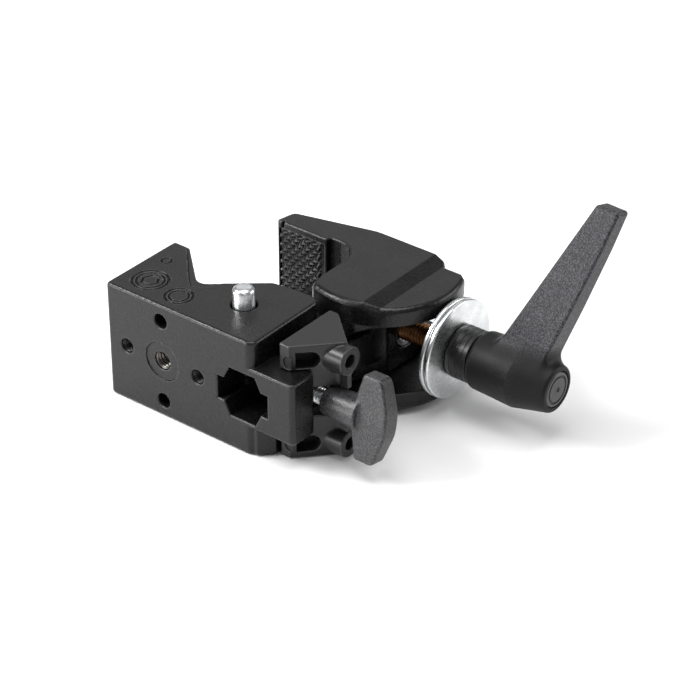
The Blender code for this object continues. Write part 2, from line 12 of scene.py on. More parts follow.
import bpy
import numpy as np
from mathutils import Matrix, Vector


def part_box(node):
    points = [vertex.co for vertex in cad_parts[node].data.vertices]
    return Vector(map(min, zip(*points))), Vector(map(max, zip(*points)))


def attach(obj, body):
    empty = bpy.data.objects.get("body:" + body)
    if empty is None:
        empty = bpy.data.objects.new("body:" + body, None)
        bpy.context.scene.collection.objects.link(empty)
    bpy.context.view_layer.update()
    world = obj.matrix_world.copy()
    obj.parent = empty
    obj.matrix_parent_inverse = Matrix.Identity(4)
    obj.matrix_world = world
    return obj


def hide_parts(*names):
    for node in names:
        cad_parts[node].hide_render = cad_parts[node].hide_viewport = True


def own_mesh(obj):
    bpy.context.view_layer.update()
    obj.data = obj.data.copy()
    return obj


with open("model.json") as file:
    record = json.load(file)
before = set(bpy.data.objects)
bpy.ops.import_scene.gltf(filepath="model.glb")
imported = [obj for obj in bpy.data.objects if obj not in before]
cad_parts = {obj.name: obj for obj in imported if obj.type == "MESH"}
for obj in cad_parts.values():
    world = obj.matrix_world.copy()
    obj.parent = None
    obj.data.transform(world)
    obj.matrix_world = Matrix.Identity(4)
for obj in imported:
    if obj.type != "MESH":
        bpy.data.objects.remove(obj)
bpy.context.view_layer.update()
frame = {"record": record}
MM = 0.001
ORIGIN = np.array(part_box("body_casting")[0])
CELL = 0.4          # spacing of the grid that a field is meshed on
FINE_CELL = 0.3
AXES = {"x": (1, 2, 0), "y": (0, 2, 1), "z": (0, 1, 2)}   # the plane's two axes, then the one along
BODY_OF = {node: body for body, nodes in frame["record"]["behaviour"]["bodies"].items() for node in nodes}


def span(node, axis):
    """A CAD node's lowest and highest place along an axis, in the clamp's millimetres."""
    return [(corner["xyz".index(axis)] - ORIGIN["xyz".index(axis)]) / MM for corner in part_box(node)]


def node_box(node):
    """A CAD node's lowest and highest corners, in the clamp's millimetres."""
    spans = [span(node, axis) for axis in "xyz"]
    return [low for low, _ in spans], [high for _, high in spans]


def middle(node, axis):
    return sum(span(node, axis)) / 2


# ---------------------------------------------------------------- driving sizes, read from the frame

HEIGHT = span("jaw_casting", "z")[1]
MID_Z = HEIGHT / 2
SCREW_AT = (middle("screw_stud", "y"), MID_Z)
KNOB_AT = (middle("t_knob_stud", "y"), MID_Z)
PIN_AT = (middle("lock_pin", "x"), middle("lock_pin", "y"))
PIVOT_AT = (middle("pivot_pin", "x"), middle("pivot_pin", "y"))
THREAD_AT = (middle("camera_thread_insert", "x"), MID_Z)
BLOCK_RIGHT = span("body_casting", "x")[1]
CROSS = 15.0                               # from the middle thread to each hole of its cross
CAM_AT = (63.0, SCREW_AT[0])
CAM_RADIUS = 26.5
GAP = 0.3                                  # between pieces that fit together


# ---------------------------------------------------------------- outlines and fields

def arc(centre, radius, start, end, step=6):
    """Points on an arc from one angle to another, in degrees."""
    angles = np.radians(np.linspace(start, end, max(3, int(abs(end - start) / step) + 1)))
    return [(centre[0] + radius * math.cos(a), centre[1] + radius * math.sin(a)) for a in angles]


def rounded(corners, step=15):
    """An outline through corners (x, y, radius), each rounded with its own radius."""
    outline = []
    for i, (x, y, radius) in enumerate(corners):
        here = Vector((x, y))
        if radius == 0:
            outline.append((x, y))
            continue
        before = (Vector(corners[i - 1][:2]) - here).normalized()
        after = (Vector(corners[(i + 1) % len(corners)][:2]) - here).normalized()
        half = before.angle(after) / 2
        centre = here + (before + after).normalized() * radius / math.sin(half)
        start = here + before * radius / math.tan(half) - centre
        end = here + after * radius / math.tan(half) - centre
        turn = math.atan2(start.x * end.y - start.y * end.x, start.dot(end))
        first = math.atan2(start.y, start.x)
        outline += arc(centre, radius, math.degrees(first), math.degrees(first + turn), step)
    return outline


def polygon(points):
    """Signed distance to an outline in a plane, negative inside."""
    ring = list(zip(points, points[1:] + points[:1]))

    def distance(u, v):
        nearest, inside = np.inf, False
        for (ax, ay), (bx, by) in ring:
            ex, ey = bx - ax, by - ay
            wx, wy = u - ax, v - ay
            along = np.clip((wx * ex + wy * ey) / (ex * ex + ey * ey), 0, 1)
            nearest = np.minimum(nearest, (wx - ex * along) ** 2 + (wy - ey * along) ** 2)
            above, below, left = v >= ay, v < by, ex * wy > ey * wx
            inside = inside ^ ((above & below & left) | (~above & ~below & ~left))
        return np.where(inside, -1, 1) * np.sqrt(nearest)
    return distance


def circle(centre, radius):
    return lambda u, v: np.hypot(u - centre[0], v - centre[1]) - radius


def box(low, high):
    return polygon([(low[0], low[1]), (high[0], low[1]), (high[0], high[1]), (low[0], high[1])])


def meet(a, b, edge):
    """What two fields share, with the edge between them rounded."""
    a, b = a + edge, b + edge
    return np.minimum(np.maximum(a, b), 0) + np.hypot(np.maximum(a, 0), np.maximum(b, 0)) - edge


def slab(plan, low, high, axis="z", edge=0.0):
    """An outline's field carried along an axis, with rounded edges."""
    first, second, along = AXES[axis]

    def field(*p):
        ends = np.abs(p[along] - (low + high) / 2) - (high - low) / 2
        return meet(plan(p[first], p[second]), ends, edge)
    return field


def blended(a, b, size):
    """The lower of two values, with a fillet of about that size where they meet."""
    if size == 0:
        return np.minimum(a, b)
    near = np.maximum(size - np.abs(a - b), 0) / size
    return np.minimum(a, b) - near * near * size / 4


def joined(first, *others, fillet=0.0):
    def field(*p):
        value = first(*p)
        for other in others:
            value = blended(value, other(*p), fillet)
        return value
    return field


def without(first, *cuts, fillet=0.0):
    def field(*p):
        value = first(*p)
        for cut in cuts:
            value = -blended(-value, cut(*p), fillet)
        return value
    return field


# ---------------------------------------------------------------- meshes

def add_mesh(name, points, faces, normals=None):
    """A mesh object from points in the clamp's millimetres."""
    mesh = bpy.data.meshes.new(name)
    mesh.from_pydata((ORIGIN + np.asarray(points, float) * MM).tolist(), [],
                     faces.tolist() if isinstance(faces, np.ndarray) else faces)
    mesh.shade_smooth()
    if normals is not None:
        mesh.normals_split_custom_set_from_vertices(normals.tolist())
    made = bpy.data.objects.new(name, mesh)
    bpy.context.scene.collection.objects.link(made)
    return made


def slope(field, points):
    """The field's gradient at each point, by central differences."""
    reach = 0.03
    columns = []
    for axis in range(3):
        shift = np.zeros(3)
        shift[axis] = reach
        columns.append((field(*(points + shift).T) - field(*(points - shift).T)) / (2 * reach))
    return np.stack(columns, axis=1)


def grid_points(value, low, cell):
    """One point for each grid cell that the surface passes through, and each cell's point number."""
    inside = value < 0
    shape = tuple(n - 1 for n in inside.shape)
    corners = [np.array((i, j, k)) for i in (0, 1) for j in (0, 1) for k in (0, 1)]
    count = np.zeros(shape, np.int8)
    for i, j, k in corners:
        count += inside[i:i + shape[0], j:j + shape[1], k:k + shape[2]]
    active = (count > 0) & (count < 8)
    number = np.full(shape, -1)
    number[active] = np.arange(np.count_nonzero(active))
    cells = np.argwhere(active)
    total, hits = np.zeros((len(cells), 3)), np.zeros((len(cells), 1))
    for axis in range(3):
        step = np.eye(3, dtype=int)[axis]
        for corner in corners:
            if corner[axis]:
                continue
            start, end = value[tuple((cells + corner).T)], value[tuple((cells + corner + step).T)]
            crosses = ((start < 0) != (end < 0))[:, None]
            share = (start / np.where(start == end, 1, start - end))[:, None]
            total += np.where(crosses, cells + corner + share * step, 0)
            hits += crosses
    return low + cell * total / hits, number, inside


def grid_quads(number, inside):
    """A quad round every grid edge that the surface crosses, facing outwards."""
    quads = []
    for axis in range(3):
        along, second, third = (np.eye(3, dtype=int)[(axis + i) % 3] for i in range(3))
        lower = [slice(None)] * 3
        upper = [slice(None)] * 3
        lower[axis], upper[axis] = slice(None, -1), slice(1, None)
        edges = np.argwhere(inside[tuple(lower)] != inside[tuple(upper)])
        around = [number[tuple((edges - back).T)] for back in (0 * along, second, second + third, third)]
        ring = np.stack(around, axis=1)
        leaves = inside[tuple(edges.T)]
        quads.append(np.where(leaves[:, None], ring, ring[:, ::-1]))
    return np.concatenate(quads)


OFF_GRID = 2.37                            # cells before the box, uneven to keep flat faces off the grid


def field_mesh(name, field, low, high, cell=None):
    """The surface where a field is zero, drawn onto the field so that its faces and edges are true."""
    cell = cell or CELL
    low = np.array(low, float) - OFF_GRID * cell
    axes = [np.arange(a, b + 3 * cell, cell) for a, b in zip(low, high)]
    grid = np.meshgrid(*axes, indexing="ij", sparse=True)
    value = np.array(np.broadcast_to(field(*grid), [len(a) for a in axes]))
    points, number, inside = grid_points(value, low, cell)
    quads = grid_quads(number, inside)
    for _ in range(3):
        steepness = slope(field, points)
        size = np.maximum(np.sum(steepness ** 2, axis=1), 0.25)
        move = (field(*points.T) / size)[:, None] * steepness
        points = points - np.clip(move, -cell / 2, cell / 2)
    normals = slope(field, points)
    normals /= np.maximum(np.linalg.norm(normals, axis=1, keepdims=True), 1e-9)
    return add_mesh(name, points, quads, normals)


TIP = 0.01                                 # radius that stands for a point on the axis


def ring_mesh(name, axis, centre, places, radius, sides=96, closed=False, sharp=30):
    """A turned piece with radius(number, place, angles) at each place along the axis.

    A closed one joins its last ring to its first, and is a tube. Otherwise both ends are capped.
    """
    first, second, along = AXES[axis]
    angles = np.arange(sides) * 2 * math.pi / sides
    points = np.zeros((len(places), sides, 3))
    for i, place in enumerate(places):
        reach = radius(i, place, angles)
        points[i, :, first] = centre[0] + reach * np.cos(angles)
        points[i, :, second] = centre[1] + reach * np.sin(angles)
        points[i, :, along] = place
    rings = np.arange(len(places) * sides).reshape(len(places), sides)
    pairs = list(zip(rings, rings[1:])) + ([(rings[-1], rings[0])] if closed else [])
    faces = []
    for lower, upper in pairs:
        quads = np.stack([lower, np.roll(lower, -1), np.roll(upper, -1), upper], axis=1)
        faces += quads.tolist()
    if not closed:
        faces += [rings[0][::-1].tolist(), rings[-1].tolist()]
    if axis == "y":                          # its plane is x and z, which is left-handed
        faces = [face[::-1] for face in faces]
    made = add_mesh(name, points.reshape(-1, 3), faces)
    made.data.set_sharp_from_angle(angle=math.radians(sharp))
    return made


def turned(name, axis, centre, profile, closed=False, sides=96, sharp=30):
    """A piece turned from (place, radius) pairs."""
    places = [place for place, _ in profile]
    return ring_mesh(name, axis, centre, places, lambda i, place, angles: profile[i][1], sides, closed, sharp)


def thread_cut(place, angles, pitch, depth):
    """How far a thread is cut in at a place, round its helix, with flat crests and roots."""
    turns = place / pitch - angles / (2 * math.pi)
    saw = np.abs((turns % 1) * 2 - 1)
    return depth * np.clip(1.3 * saw - 0.15, 0, 1)


def threaded_rod(name, axis, centre, low, high, radius, pitch, depth, chamfer=0.8):
    places = np.linspace(low, high, int((high - low) / pitch * 10) + 1)

    def reach(i, place, angles):
        crest = radius - max(0, chamfer - (place - low), chamfer - (high - place))
        return np.minimum(radius - thread_cut(place, angles, pitch, depth), crest)
    return ring_mesh(name, axis, centre, places, reach, sides=64, sharp=60)


def threaded_tube(name, axis, centre, low, high, outer, inner, pitch, depth, mouth=0.5):
    """A sleeve with a thread cut into its bore."""
    bore = np.linspace(high, low, int((high - low) / pitch * 10) + 1)

    def reach(i, place, angles):
        if i < 2:
            return outer
        opening = max(0, mouth - (place - low), mouth - (high - place))
        return np.maximum(inner + thread_cut(place, angles, pitch, depth), inner + opening)
    return ring_mesh(name, axis, centre, [low, high, *bore], reach, sides=64, closed=True, sharp=60)


def spring(name, axis, centre, low, high, radius, wire, turns):
    """A compression spring with a closed coil at each end."""
    first, second, along = AXES[axis]
    steps, sides = 36 * (turns + 2), 12
    turn = np.linspace(0, turns + 2, steps + 1)
    lift = low + wire + (high - low - 2 * wire) * np.clip(turn - 1, 0, turns) / turns
    angle = turn * 2 * math.pi
    points = np.zeros((steps + 1, sides, 3))
    for side in range(sides):
        tilt = 2 * math.pi * side / sides
        reach = radius + wire * math.cos(tilt)
        points[:, side, first] = centre[0] + reach * np.cos(angle)
        points[:, side, second] = centre[1] + reach * np.sin(angle)
        points[:, side, along] = lift + wire * math.sin(tilt)
    rings = np.arange(points.size // 3).reshape(steps + 1, sides)
    faces = []
    for lower, upper in zip(rings, rings[1:]):
        faces += np.stack([lower, upper, np.roll(upper, -1), np.roll(lower, -1)], axis=1).tolist()
    faces += [rings[0].tolist(), rings[-1][::-1].tolist()]
    return add_mesh(name, points.reshape(-1, 3), faces)


# ---------------------------------------------------------------- materials

def new_material(name):
    made = bpy.data.materials.new(name)
    made.use_nodes = True
    return made, made.node_tree, made.node_tree.nodes["Principled BSDF"]


def add_node(tree, kind, settings=None, inputs=None):
    node = tree.nodes.new(kind)
    for key, value in (settings or {}).items():
        setattr(node, key, value)
    for key, value in (inputs or {}).items():
        if isinstance(value, bpy.types.NodeSocket):
            tree.links.new(value, node.inputs[key])
        else:
            node.inputs[key].default_value = value
    return node


def noise(tree, place, size, detail=2.0, roughness=0.5):
    """Noise whose features are about that many millimetres across."""
    inputs = {"Vector": place, "Scale": 1 / (size * MM), "Detail": detail, "Roughness": roughness}
    return add_node(tree, "ShaderNodeTexNoise", None, inputs).outputs["Fac"]


def calculated(tree, operation, *values):
    return add_node(tree, "ShaderNodeMath", {"operation": operation}, dict(enumerate(values))).outputs[0]


def remap(tree, value, low, high, start=0.3, end=0.7):
    inputs = {"Value": value, "From Min": start, "From Max": end, "To Min": low, "To Max": high}
    return add_node(tree, "ShaderNodeMapRange", None, inputs).outputs["Result"]


def mixed(tree, share, first, second):
    settings = {"data_type": "RGBA"}
    node = add_node(tree, "ShaderNodeMix", settings)
    tree.links.new(share, node.inputs[0])
    for socket, value in ((node.inputs[6], first), (node.inputs[7], second)):
        if isinstance(value, bpy.types.NodeSocket):
            tree.links.new(value, socket)
        else:
            socket.default_value = (*value, 1)
    return node.outputs[2]


def bump(tree, height, depth, under=None):
    inputs = {"Height": height, "Distance": depth * MM, "Strength": 1.0}
    if under:
        inputs["Normal"] = under
    return add_node(tree, "ShaderNodeBump", None, inputs).outputs["Normal"]


EDGE_POINTINESS = (0.515, 0.59)            # where the painted edge highlight starts and is full; 0.5 is a flat face
EDGE_HIGHLIGHT_GAIN, SPECKLE_GAIN = 12, 4.0        # painted edge highlight and speckles, as multiples of the light colour
SPECKLE_RANGE = (0.42, 0.66)               # the grain's noise between no speckle and a full one
PATCH_SIZE, FINE_SHARE = 9.0, 0.42         # millimetres across a patch; the fine grain's size by the grain's
SHADE_PLACE_MATT, PAINTED_SHADE_SHARE = 0.14, 0.6           # what the place of painted shade adds to roughness, and the share of the dark colour its painted shade keeps


def edge_highlight_mask(tree, start, end):
    """0 on faces and rising to 1 along outer edges, where a painted highlight lightens them."""
    pointed = add_node(tree, "ShaderNodeNewGeometry").outputs["Pointiness"]
    return remap(tree, pointed, 0, 1, start, end)


def grained(name, dark, light, roughness, grain, depth, specular=0.5, painted_highlight=0.0, speckle=0.35, painted_shade_place=None):
    """Black moulded or coated surface: mottled colour, a grain of that size and depth, and a painted
    highlight along the edges.

    Within a place of painted shade, (axis, centre, radius in millimetres), its colour is darkened as painted
    shade and it is more matt.
    """
    made, tree, shader = new_material(name)
    place = add_node(tree, "ShaderNodeTexCoord").outputs["Object"]
    patches = noise(tree, place, PATCH_SIZE, 3.0)
    grains = noise(tree, place, grain, 2.5, 0.6)
    fine = noise(tree, place, grain * FINE_SHARE, 1.5)
    colour = mixed(tree, remap(tree, patches, 0, 0.6), dark, light)
    speckles = remap(tree, grains, 0, speckle, *SPECKLE_RANGE)
    colour = mixed(tree, speckles, colour, [SPECKLE_GAIN * c for c in light])
    highlit_edges = edge_highlight_mask(tree, *EDGE_POINTINESS)
    # Painted highlight: outer edges lightened towards many times the light colour.
    if painted_highlight:
        share = calculated(tree, "MULTIPLY", highlit_edges, painted_highlight)
        colour = mixed(tree, share, colour, [EDGE_HIGHLIGHT_GAIN * c for c in light])
    level = remap(tree, patches, roughness - 0.05, roughness + 0.06)
    # Painted shade: the place round the axis is darkened to a share of the dark colour; it is also made more
    # matt.
    if painted_shade_place:
        axis, centre, radius = painted_shade_place
        round_it = turning_marks(tree, axis, centre)[0]
        reach = add_node(tree, "ShaderNodeSeparateXYZ", None, {0: round_it}).outputs[0]
        share = remap(tree, reach, 0, 1, (radius - 1.5) * MM, (radius + 2.5) * MM)
        colour = mixed(tree, share, [PAINTED_SHADE_SHARE * c for c in dark], colour)
        matt = calculated(tree, "MULTIPLY_ADD", share, -SHADE_PLACE_MATT, SHADE_PLACE_MATT)
        level = calculated(tree, "ADD", level, matt)
    tree.links.new(colour, shader.inputs["Base Color"])
    tree.links.new(level, shader.inputs["Roughness"])
    shader.inputs["Specular IOR Level"].default_value = specular
    rough = bump(tree, grains, depth)
    tree.links.new(bump(tree, fine, depth * 0.35, rough), shader.inputs["Normal"])
    return made


def vector_maths(tree, operation, *values):
    return add_node(tree, "ShaderNodeVectorMath", {"operation": operation}, dict(enumerate(values)))


def turning_marks(tree, axis, centre):
    """Distance from an axis and place along it, as a vector: noise on it makes the marks of a lathe."""
    first, second, along = AXES[axis]
    middle_point = [0.0, 0.0, 0.0]
    middle_point[first] = ORIGIN[first] + centre[0] * MM
    middle_point[second] = ORIGIN[second] + centre[1] * MM
    flat = [1.0, 1.0, 1.0]
    flat[along] = 0.0
    place = add_node(tree, "ShaderNodeTexCoord").outputs["Object"]
    moved = vector_maths(tree, "SUBTRACT", place, middle_point).outputs[0]
    across = vector_maths(tree, "MULTIPLY", moved, flat).outputs[0]
    reach = vector_maths(tree, "LENGTH", across).outputs["Value"]
    split = add_node(tree, "ShaderNodeSeparateXYZ", None, {0: place}).outputs[along]
    return add_node(tree, "ShaderNodeCombineXYZ", None, {0: reach, 1: split}).outputs[0], place


def turned_metal(name, axis, centre, dark, light, roughness, marks=0.12, depth=0.004):
    """Plated or plain metal with fine lathe marks and a cloudy tarnish."""
    made, tree, shader = new_material(name)
    round_it, place = turning_marks(tree, axis, centre)
    lines = noise(tree, round_it, marks, 2.0)
    clouds = noise(tree, place, 4.0, 4.0, 0.6)
    scuffs = noise(tree, place, 0.7, 3.0, 0.7)
    colour = mixed(tree, remap(tree, clouds, 0, 1), dark, light)
    tree.links.new(colour, shader.inputs["Base Color"])
    shader.inputs["Metallic"].default_value = 1.0
    level = remap(tree, clouds, roughness + 0.08, roughness - 0.04)
    spread = calculated(tree, "ADD", level, remap(tree, scuffs, 0, 0.08))
    tree.links.new(spread, shader.inputs["Roughness"])
    under = bump(tree, lines, depth)
    tree.links.new(bump(tree, scuffs, depth * 0.6, under), shader.inputs["Normal"])
    return made


# The casting's outer edges carry a painted highlight.
BLACK_CAST = grained("powder coated casting", (0.0028, 0.0027, 0.0026), (0.0050, 0.0048, 0.0047),
                     roughness=0.27, grain=0.7, depth=0.09, specular=0.34, painted_highlight=0.9, speckle=0.4)
# The lever's hub, round the screw's axis, is darkened with painted shade.
LEVER_PLASTIC = grained("spark eroded plastic", (0.006, 0.006, 0.007), (0.021, 0.021, 0.0235), roughness=0.38,
                        grain=0.5, depth=0.07, specular=0.24, speckle=1.0, painted_shade_place=("x", SCREW_AT, 11.5))
KNOB_PLASTIC = grained("coarse moulded plastic", (0.008, 0.008, 0.0087), (0.016, 0.016, 0.0172),
                       roughness=0.36, grain=0.5, depth=0.07, speckle=1.0)
# The wedge's outer edges carry a painted highlight.
WEDGE_PLASTIC = grained("satin moulded plastic", (0.010, 0.010, 0.0105), (0.014, 0.014, 0.0145),
                        roughness=0.34, grain=0.4, depth=0.006, specular=0.36, painted_highlight=0.5, speckle=0.2)
SLEEVE_PLASTIC = grained("smooth black plastic", (0.005, 0.005, 0.0055), (0.008, 0.008, 0.0085),
                         roughness=0.33, grain=0.4, depth=0.006, specular=0.4, speckle=0.2)
CAST_LINE = grained("mould line", (0.006, 0.0058, 0.0056), (0.009, 0.0087, 0.0085),
                    roughness=0.34, grain=0.6, depth=0.02, specular=0.34)
RUBBER = grained("moulded rubber", (0.006, 0.006, 0.006), (0.010, 0.010, 0.010),
                 roughness=0.24, grain=0.3, depth=0.004, specular=1.0, speckle=0.3)
ZINC_WASHER = turned_metal("zinc washer", "x", SCREW_AT, (0.64, 0.66, 0.67), (0.79, 0.80, 0.80), 0.24)
ZINC_PIN = turned_metal("zinc pin", "z", PIN_AT, (0.68, 0.71, 0.73), (0.85, 0.86, 0.87), 0.22, 0.25, 0.008)
ZINC_STUD = turned_metal("zinc stud", "x", KNOB_AT, (0.60, 0.62, 0.64), (0.78, 0.79, 0.80), 0.28)
BRONZE = turned_metal("bronze plated screw", "x", SCREW_AT, (0.10, 0.045, 0.022), (0.30, 0.14, 0.06), 0.3)
BRASS = turned_metal("brass tip", "x", KNOB_AT, (0.62, 0.44, 0.17), (0.80, 0.60, 0.26), 0.25)
STEEL_INSERT = turned_metal("steel insert", "y", THREAD_AT, (0.06, 0.056, 0.052), (0.16, 0.15, 0.14), 0.25)
STEEL_PIVOT = turned_metal("steel pivot", "z", PIVOT_AT, (0.36, 0.36, 0.37), (0.54, 0.54, 0.55), 0.3)
STEEL_SCREW = turned_metal("steel fastener", "x", SCREW_AT, (0.36, 0.36, 0.37), (0.56, 0.56, 0.57), 0.32)


# ---------------------------------------------------------------- placing a piece

def place(made, node, finish):
    """The piece takes a CAD node's place: its body and a finish."""
    made.data.materials.append(finish)
    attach(made, BODY_OF[node])
    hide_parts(node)
    return made


def trim(made, node, finish):
    """A detail that is part of a CAD node's piece and moves with it."""
    made.data.materials.append(finish)
    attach(made, BODY_OF[node])
    return made


# ---------------------------------------------------------------- fixed jaw

PLATE_WIDTH = 61.5
V_POINT, V_LEFT, V_RIGHT = (23.4, 18.1), (6.6, 33.6), (42.2, 33.6)
SHOULDER_X, SHOULDER_Y = 52, 34.8
BLOCK_LOW, BLOCK_HIGH, BLOCK_DEPTH = 10.5, 32.8, 10.6
BOSS_RADIUS, BOSS_START, BOSS_END = 8.6, 56, 73.0
STUD_X, SOCKET_DEPTH = 56.8, 27.0
TONGUE_LOW, TONGUE_HIGH = 8.6, 33.4
RIB_LOW, RIB_HIGH = 15, 27
HOLE_RADIUS, HOLE_DEPTH = 2.5, 11.0
ENGRAVED, STEP_DEPTH = 0.4, 0.45
FINE_MARK = 0.25                           # half width of the finer engraved rings
CLEAR = 3                                  # how far a cut reaches past the face it opens in


def socket_plan():
    """Hexagonal stud socket with a keyway on each side."""
    right = [(5.1, -8.85), (7.5, -4.15), (10.2, -4.15), (10.2, 4.15), (7.5, 4.15), (5.1, 8.85)]
    left = [(-x, z) for x, z in reversed(right)]
    return polygon([(STUD_X + x, MID_Z + z) for x, z in right + left])


def plate():
    plan = rounded([(0, 0, 1.5), (PLATE_WIDTH, 0, 3), (PLATE_WIDTH - 0.4, SHOULDER_Y, 4),
                    (SHOULDER_X, SHOULDER_Y + 0.1, 0), (*V_RIGHT, 3), (*V_POINT, 4), (*V_LEFT, 0.8),
                    (0, V_LEFT[1], 1.2)])
    return slab(polygon(plan), 0, HEIGHT, edge=1.1)


def socket_block():
    left = 50
    corners = [(left, 0, 0), (BLOCK_RIGHT, 0, 1.6), (BLOCK_RIGHT, BLOCK_DEPTH, 1), (left, BLOCK_DEPTH, 0)]
    front = slab(polygon(rounded(corners)), BLOCK_LOW, BLOCK_HIGH, edge=1.0)
    deep = slab(box((left, 2), (BOSS_END, 13)), BLOCK_LOW + 0.4, BLOCK_HIGH - 0.4, edge=1.2)
    boss = slab(circle(KNOB_AT, BOSS_RADIUS), BOSS_START, BOSS_END, "x", 1.0)
    return joined(front, joined(deep, boss, fillet=1.5))


def tongue():
    nut_left, nut_right = span("clamp_nut", "x")
    left, right, end = nut_left - 0.2, nut_right + 0.2, 71.7
    plan = rounded([(48, 30, 0), (65, 30, 0), (67, 44, 4), (right, 54, 3), (right, end, 1.5),
                    (left, end, 1.5), (left, 59.5, 0), (53.5, 50, 3), (51.1, 44, 4)])
    rib = polygon([(58, 33), (69, 33), (70.4, 44), (71.4, 56), (62, 54)])
    flat = slab(polygon(plan), TONGUE_LOW, TONGUE_HIGH, edge=0.8)
    return joined(flat, slab(rib, RIB_LOW, RIB_HIGH, edge=1.0), fillet=1.2)


def fixed_jaw():
    foot = polygon([(57, 1.2), (62, 0.9), (66.2, 5.1), (66.2, 28), (57, 28)])
    gusset = slab(foot, 0.1, BLOCK_LOW + 1, edge=0.9)
    solid = joined(joined(plate(), socket_block(), gusset), tongue(), fillet=1.6)
    nut_left, nut_right = span("clamp_nut", "x")
    nut_radius = 6.3
    bores = [slab(socket_plan(), -CLEAR, SOCKET_DEPTH, "y"),
             slab(circle(PIN_AT, 4.35), -CLEAR, HEIGHT + CLEAR),
             slab(circle(KNOB_AT, 3.2), STUD_X, BOSS_END + CLEAR, "x"),
             slab(circle(THREAD_AT, 3.3), -CLEAR, 13, "y"),
             slab(circle(PIVOT_AT, 4.3), 0, HEIGHT),
             slab(circle(SCREW_AT, nut_radius), nut_left - 4, nut_right + CLEAR, "x"),
             slab(circle(SCREW_AT, nut_radius + 1.2), nut_left - 4, nut_left + 1.9, "x")]
    for dx, dz in ((-1, 0), (1, 0), (0, 1), (0, -1)):
        centre = (THREAD_AT[0] + dx * CROSS, THREAD_AT[1] + dz * CROSS)
        bores.append(slab(circle(centre, HOLE_RADIUS), -CLEAR, HOLE_DEPTH, "y"))
    recess = slab(circle(THREAD_AT, 6.8), -CLEAR, ENGRAVED, "y")
    stepped = [(3.6, 35.5), (19.7, 18.2), (23.2, 15.2), (27.6, 17.6), (30.5, 24), (23, 32), (10, 38)]
    step = slab(polygon(stepped), HEIGHT - STEP_DEPTH, HEIGHT + CLEAR)
    large, middling, small = (10.6, 9.9), (24.3, 8.2), (6.4, 22.4)
    marks = [mould_ring(large, 5.9), mould_ring(large, 4.6, FINE_MARK), mould_ring(middling, 4.5),
             mould_ring(middling, 3.2, FINE_MARK), mould_ring(small, 1.6, FINE_MARK),
             mould_hexagon(large, 2.9)]
    cut = without(without(solid, *bores, fillet=0.7), recess, step, *marks, fillet=0.12)
    low = (0, 0, 0)
    high = (BLOCK_RIGHT, SCREW_AT[0] + 7.2, HEIGHT)
    return field_mesh("fixed_jaw", cut, low, high)


def mould_ring(centre, radius, width=0.35):
    """Plain engraved circle in the top face, as a foundry leaves round its marks."""
    return slab(lambda u, v: np.abs(circle(centre, radius)(u, v)) - width, HEIGHT - ENGRAVED, HEIGHT + CLEAR)


def mould_hexagon(centre, radius, width=0.3):
    plan = polygon([(centre[0] + radius * math.cos(a), centre[1] + radius * math.sin(a))
                    for a in np.radians(np.arange(0, 360, 60))])
    return slab(lambda u, v: np.abs(plan(u, v)) - width, HEIGHT - ENGRAVED, HEIGHT + CLEAR)


# ---------------------------------------------------------------- moving jaw

WALL = 8.2
JAW_LEFT, PAD_FACE_Y, JAW_BACK_Y = 17.2, 65.3, 80.3
SHELF_DROP, RAMP_X, SHELF_X = 1.8, 72.3, 77.4
SLOT_X, SLOT_HALF = 61.2, 5.4


def jaw_plan():
    cam = [(x, y, 0) for x, y in arc(CAM_AT, CAM_RADIUS, -108, 26, 4)]
    throat_x, throat_y = 51.5, 67.2
    front = [(JAW_LEFT, PAD_FACE_Y, 0.8), (38.2, PAD_FACE_Y, 0.5), (39.0, throat_y, 0.8),
             (throat_x, throat_y, 8.5), (throat_x, 39.8, 3.5)]
    back = [(84.6, 78.1, 1), (78, 78.1, 0.8), (75.8, JAW_BACK_Y, 1), (48.5, JAW_BACK_Y, 12),
            (18.6, 72.8, 2.5)]
    return polygon(rounded(front + cam + back))


def moving_jaw():
    plan = jaw_plan()

    def shell(x, y, z):
        ramp = np.clip((x - RAMP_X) / (SHELF_X - RAMP_X), 0, 1)
        edge = 0.7 + 1.5 * np.clip((47 - y) / 6, 0, 1) + 1.1 * ramp
        return meet(plan(x, y), np.abs(z - MID_Z) - (MID_Z - SHELF_DROP * ramp), edge)
    channel = polygon([(40, 30), (100, 30), (100, 76.4), (47, 76.4), (47, 70.5), (52.5, 65.5), (53, 58.5),
                       (40, 57.5)])
    pad_x, pad_z, pad_y = span("jaw_pad", "x"), span("jaw_pad", "z"), span("jaw_pad", "y")
    recess = box((pad_x[0] - GAP, pad_z[0] - GAP), (pad_x[1] + GAP, pad_z[1] + GAP))
    cuts = [slab(channel, WALL, HEIGHT - WALL, edge=0.8),
            slab(recess, PAD_FACE_Y - CLEAR, pad_y[1] + GAP, "y"),
            slab(circle(PIVOT_AT, 4.3), -CLEAR, 39.7), slab(circle(PIVOT_AT, 7), -CLEAR, 1.8),
            slab(box((SLOT_X, MID_Z - SLOT_HALF), (95, MID_Z + SLOT_HALF)), 74, 90, "y"),
            slab(box((19.4, 39.6), (20.3, 44)), PAD_FACE_Y - CLEAR, PAD_FACE_Y + 1.2, "y")]
    low = (JAW_LEFT, PIVOT_AT[1] - 7, 0)
    high = (CAM_AT[0] + CAM_RADIUS, JAW_BACK_Y, HEIGHT)
    return field_mesh("moving_jaw", without(shell, *cuts, fillet=0.5), low, high)


